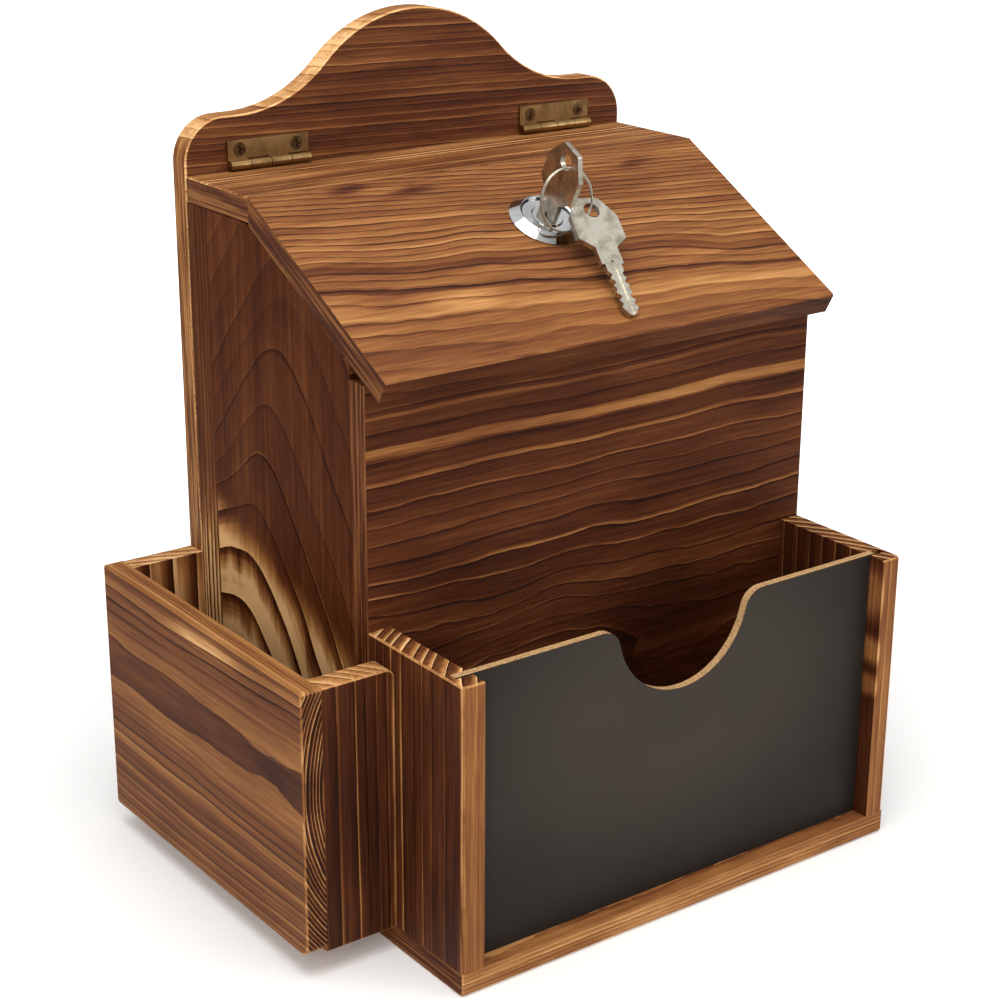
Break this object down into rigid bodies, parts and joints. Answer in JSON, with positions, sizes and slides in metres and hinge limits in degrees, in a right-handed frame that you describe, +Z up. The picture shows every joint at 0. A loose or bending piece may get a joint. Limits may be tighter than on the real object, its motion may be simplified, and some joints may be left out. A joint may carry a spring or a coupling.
{
  "type": "suggestion box",
  "caption": "Lockable wooden box for slips of paper, with an arched back board, a sloping hinged lid, a front pocket with a notched blackboard panel, and an open side pocket.",
  "frame": {"origin": "on the table, under the middle of the front board's front face, which is the wall between the box and its front pocket", "axes": "+X to the right as seen from the front, +Y towards the back board, +Z up"},
  "size_m": [0.237, 0.18, 0.305],
  "materials": {
    "back_wood": "scorched and brushed softwood, satin",
    "side_wood": "scorched and brushed softwood, satin",
    "front_wood": "scorched and brushed softwood, satin",
    "base_wood": "scorched and brushed softwood, satin",
    "cheek_wood": "scorched and brushed softwood, satin",
    "pocket_wood": "scorched and brushed softwood, satin",
    "lid_wood": "scorched and brushed softwood, satin",
    "blackboard": "thin fibre board with a matt black writing face and bare tan edges",
    "hinge_brass": "tarnished, satin",
    "screw_brass": "tarnished, satin",
    "lock_chrome": "polished",
    "key_nickel": "pressed nickel-plated steel"
  },
  "bodies": {
    "box": {"back_board": "back_wood", "left_side_board": "side_wood", "right_side_board": "side_wood", "left_side_strip": "side_wood", "right_side_strip": "side_wood", "front_board": "front_wood", "base_board": "base_wood", "cross_rail": "base_wood", "left_cheek": "cheek_wood", "right_cheek": "cheek_wood", "blackboard_panel": "blackboard", "side_pocket_outer_board": "pocket_wood", "side_pocket_front_board": "cheek_wood", "side_pocket_rear_board": "cheek_wood", "side_pocket_floor": "pocket_wood", "left_hinge_fixed_leaf": "hinge_brass", "right_hinge_fixed_leaf": "hinge_brass", "left_hinge_pin": "hinge_brass", "right_hinge_pin": "hinge_brass", "fixed_leaf_screws": "screw_brass"},
    "lid": {"lid_top_strip": "lid_wood", "lid_slope_board": "lid_wood", "left_hinge_lid_leaf": "hinge_brass", "right_hinge_lid_leaf": "hinge_brass", "lid_leaf_screws": "screw_brass", "lock_housing": "lock_chrome", "lock_bezel": "lock_chrome", "lock_nut": "lock_chrome"},
    "plug": {"lock_plug": "lock_chrome", "lock_cam": "lock_chrome", "cam_screw": "lock_chrome"},
    "key": {"key": "key_nickel"},
    "ring": {"key_ring": "key_nickel"},
    "spare_key": {"spare_key": "key_nickel"}
  },
  "joints": [
    {"name": "lid_hinge", "type": "hinge", "parent": "box", "child": "lid", "pos_m": [0, 0.114, 0.2541], "axis": [-1, 0, 0], "range_deg": [0, 90]},
    {"name": "lock_turn", "type": "hinge", "parent": "lid", "child": "plug", "pos_m": [0.006, 0.04214, 0.23574], "axis": [0, 0.4781, -0.8783], "range_deg": [0, 90]},
    {"name": "key_slide", "type": "slide", "parent": "plug", "child": "key", "axis": [0, -0.4781, 0.8783], "range_m": [0, 0.0235]},
    {"name": "ring_swing", "type": "hinge", "parent": "key", "child": "ring", "pos_m": [0.006, 0.02914, 0.25727], "axis": [-0.9962, 0.0045, 0.087], "range_deg": [0, 30]},
    {"name": "spare_key_swing", "type": "hinge", "parent": "ring", "child": "spare_key", "pos_m": [0.01534, 0.02829, 0.24111], "axis": [-0.4226, -0.0474, -0.9051], "range_deg": [0, 15]}
  ]
}
